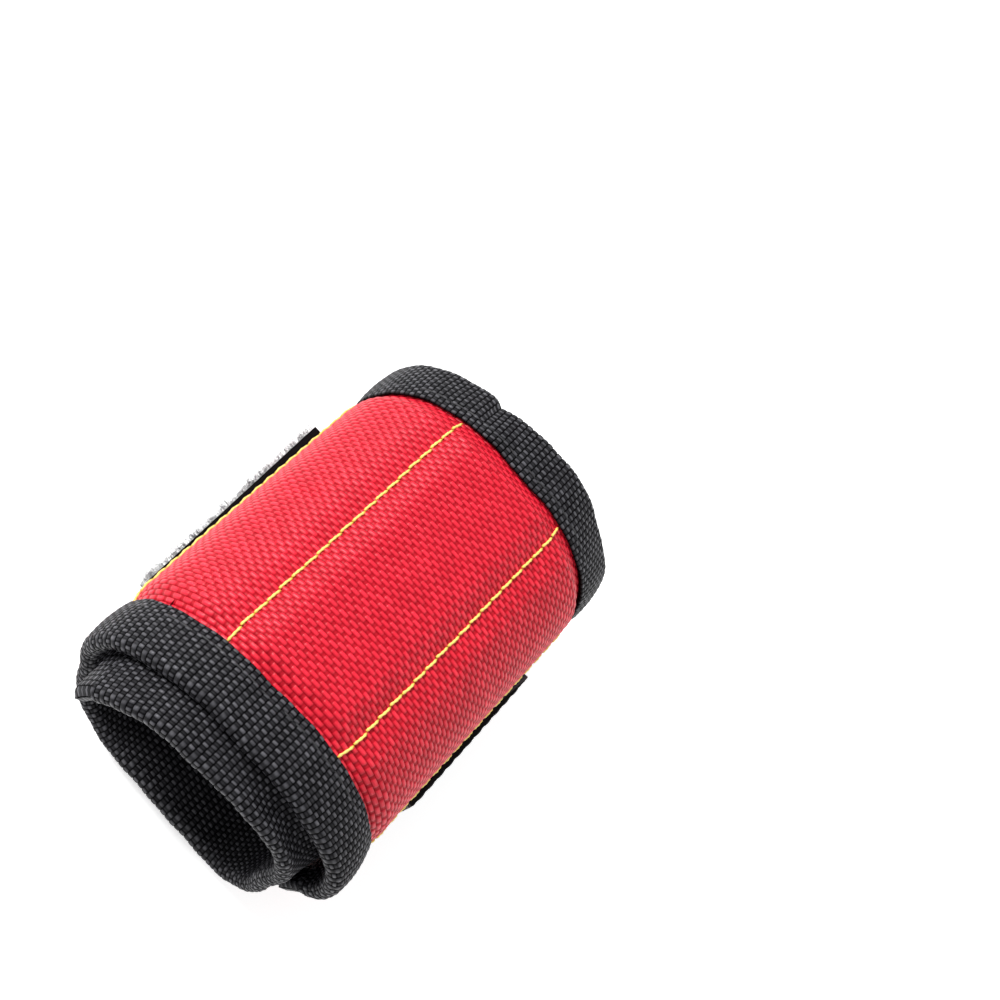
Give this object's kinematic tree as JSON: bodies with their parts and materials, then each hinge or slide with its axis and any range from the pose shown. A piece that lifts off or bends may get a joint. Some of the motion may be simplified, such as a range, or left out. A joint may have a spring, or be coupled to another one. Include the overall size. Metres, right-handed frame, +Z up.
{
  "type": "magnetic wristband",
  "caption": "padded wristband wound round a wrist form, with a red woven shell, magnet pockets between stitch rows, bound edges and a hook tab that closes on a loop strip",
  "frame": {"origin": "middle of the tab face on the underside, which the band lies on", "axes": "+X along the arm towards the hand, +Z up through the middle pocket, +Y towards the side with the loop strip"},
  "size_m": [0.0985, 0.0661, 0.0527],
  "materials": {
    "red_cloth": "heavy two-ply basket weave, slight sheen",
    "lining_cloth": "matt knitted lining",
    "black_binding": "ribbed woven tape",
    "filler_foam": "matt foam sheet",
    "carrier_board": "matt board",
    "nickel_magnet": "bright plating",
    "loop_tape": "fuzzy pile",
    "hook_tape": "woven tape with stiff hooks",
    "yellow_thread": "twisted thread, slight sheen"
  },
  "bodies": {
    "strap": {"strap_shell": "red_cloth", "strap_lining": "lining_cloth", "strap_binding_elbow": "black_binding", "strap_binding_hand": "black_binding", "strap_filler": "filler_foam", "strap_end_binding": "black_binding", "loop_strip": "loop_tape", "stitch_row_1": "yellow_thread"},
    "pocket_1": {"pocket_1_shell": "red_cloth", "pocket_1_lining": "lining_cloth", "pocket_1_binding_elbow": "black_binding", "pocket_1_binding_hand": "black_binding", "pocket_1_carrier": "carrier_board", "pocket_1_magnet_1": "nickel_magnet", "pocket_1_magnet_2": "nickel_magnet", "pocket_1_magnet_3": "nickel_magnet", "pocket_1_magnet_4": "nickel_magnet", "pocket_1_magnet_5": "nickel_magnet", "stitch_row_2": "yellow_thread"},
    "pocket_2": {"pocket_2_shell": "red_cloth", "pocket_2_lining": "lining_cloth", "pocket_2_binding_elbow": "black_binding", "pocket_2_binding_hand": "black_binding", "pocket_2_carrier": "carrier_board", "pocket_2_magnet_1": "nickel_magnet", "pocket_2_magnet_2": "nickel_magnet", "pocket_2_magnet_3": "nickel_magnet", "pocket_2_magnet_4": "nickel_magnet", "pocket_2_magnet_5": "nickel_magnet", "stitch_row_3": "yellow_thread"},
    "pocket_3": {"pocket_3_shell": "red_cloth", "pocket_3_lining": "lining_cloth", "pocket_3_binding_elbow": "black_binding", "pocket_3_binding_hand": "black_binding", "pocket_3_carrier": "carrier_board", "pocket_3_magnet_1": "nickel_magnet", "pocket_3_magnet_2": "nickel_magnet", "pocket_3_magnet_3": "nickel_magnet", "pocket_3_magnet_4": "nickel_magnet", "pocket_3_magnet_5": "nickel_magnet", "stitch_row_4": "yellow_thread", "tail_shell": "red_cloth", "tail_lining": "lining_cloth", "tail_binding_elbow": "black_binding", "tail_binding_hand": "black_binding", "tail_end_binding": "black_binding", "tab_root": "hook_tape"},
    "tab": {"tab_middle": "hook_tape"},
    "tab_tip": {"tab_tip": "hook_tape"}
  },
  "joints": [
    {"name": "fold_row_1", "type": "hinge", "parent": "strap", "child": "pocket_1", "pos_m": [0, 0.03115, 0.02928], "axis": [-1, 0, 0], "range_deg": [0, 40]},
    {"name": "fold_row_2", "type": "hinge", "parent": "pocket_1", "child": "pocket_2", "pos_m": [0, 0.01418, 0.05003], "axis": [-1, 0, 0], "range_deg": [0, 40]},
    {"name": "fold_row_3", "type": "hinge", "parent": "pocket_2", "child": "pocket_3", "pos_m": [0, -0.01418, 0.05003], "axis": [-1, 0, 0], "range_deg": [0, 40]},
    {"name": "tab_fold", "type": "hinge", "parent": "pocket_3", "child": "tab", "pos_m": [0, -0.03147, 0.01199], "axis": [-1, 0, 0], "range_deg": [0, 88]},
    {"name": "tab_peel", "type": "hinge", "parent": "tab", "child": "tab_tip", "pos_m": [0, 0.01245, 0.00004], "axis": [-1, 0, 0], "range_deg": [0, 90]}
  ],
  "couplings": [
    {"joint": "fold_row_2", "follows": "fold_row_1", "ratio": 1},
    {"joint": "fold_row_3", "follows": "fold_row_1", "ratio": 1},
    {"joint": "tab_fold", "follows": "fold_row_1", "ratio": 2.2}
  ]
}
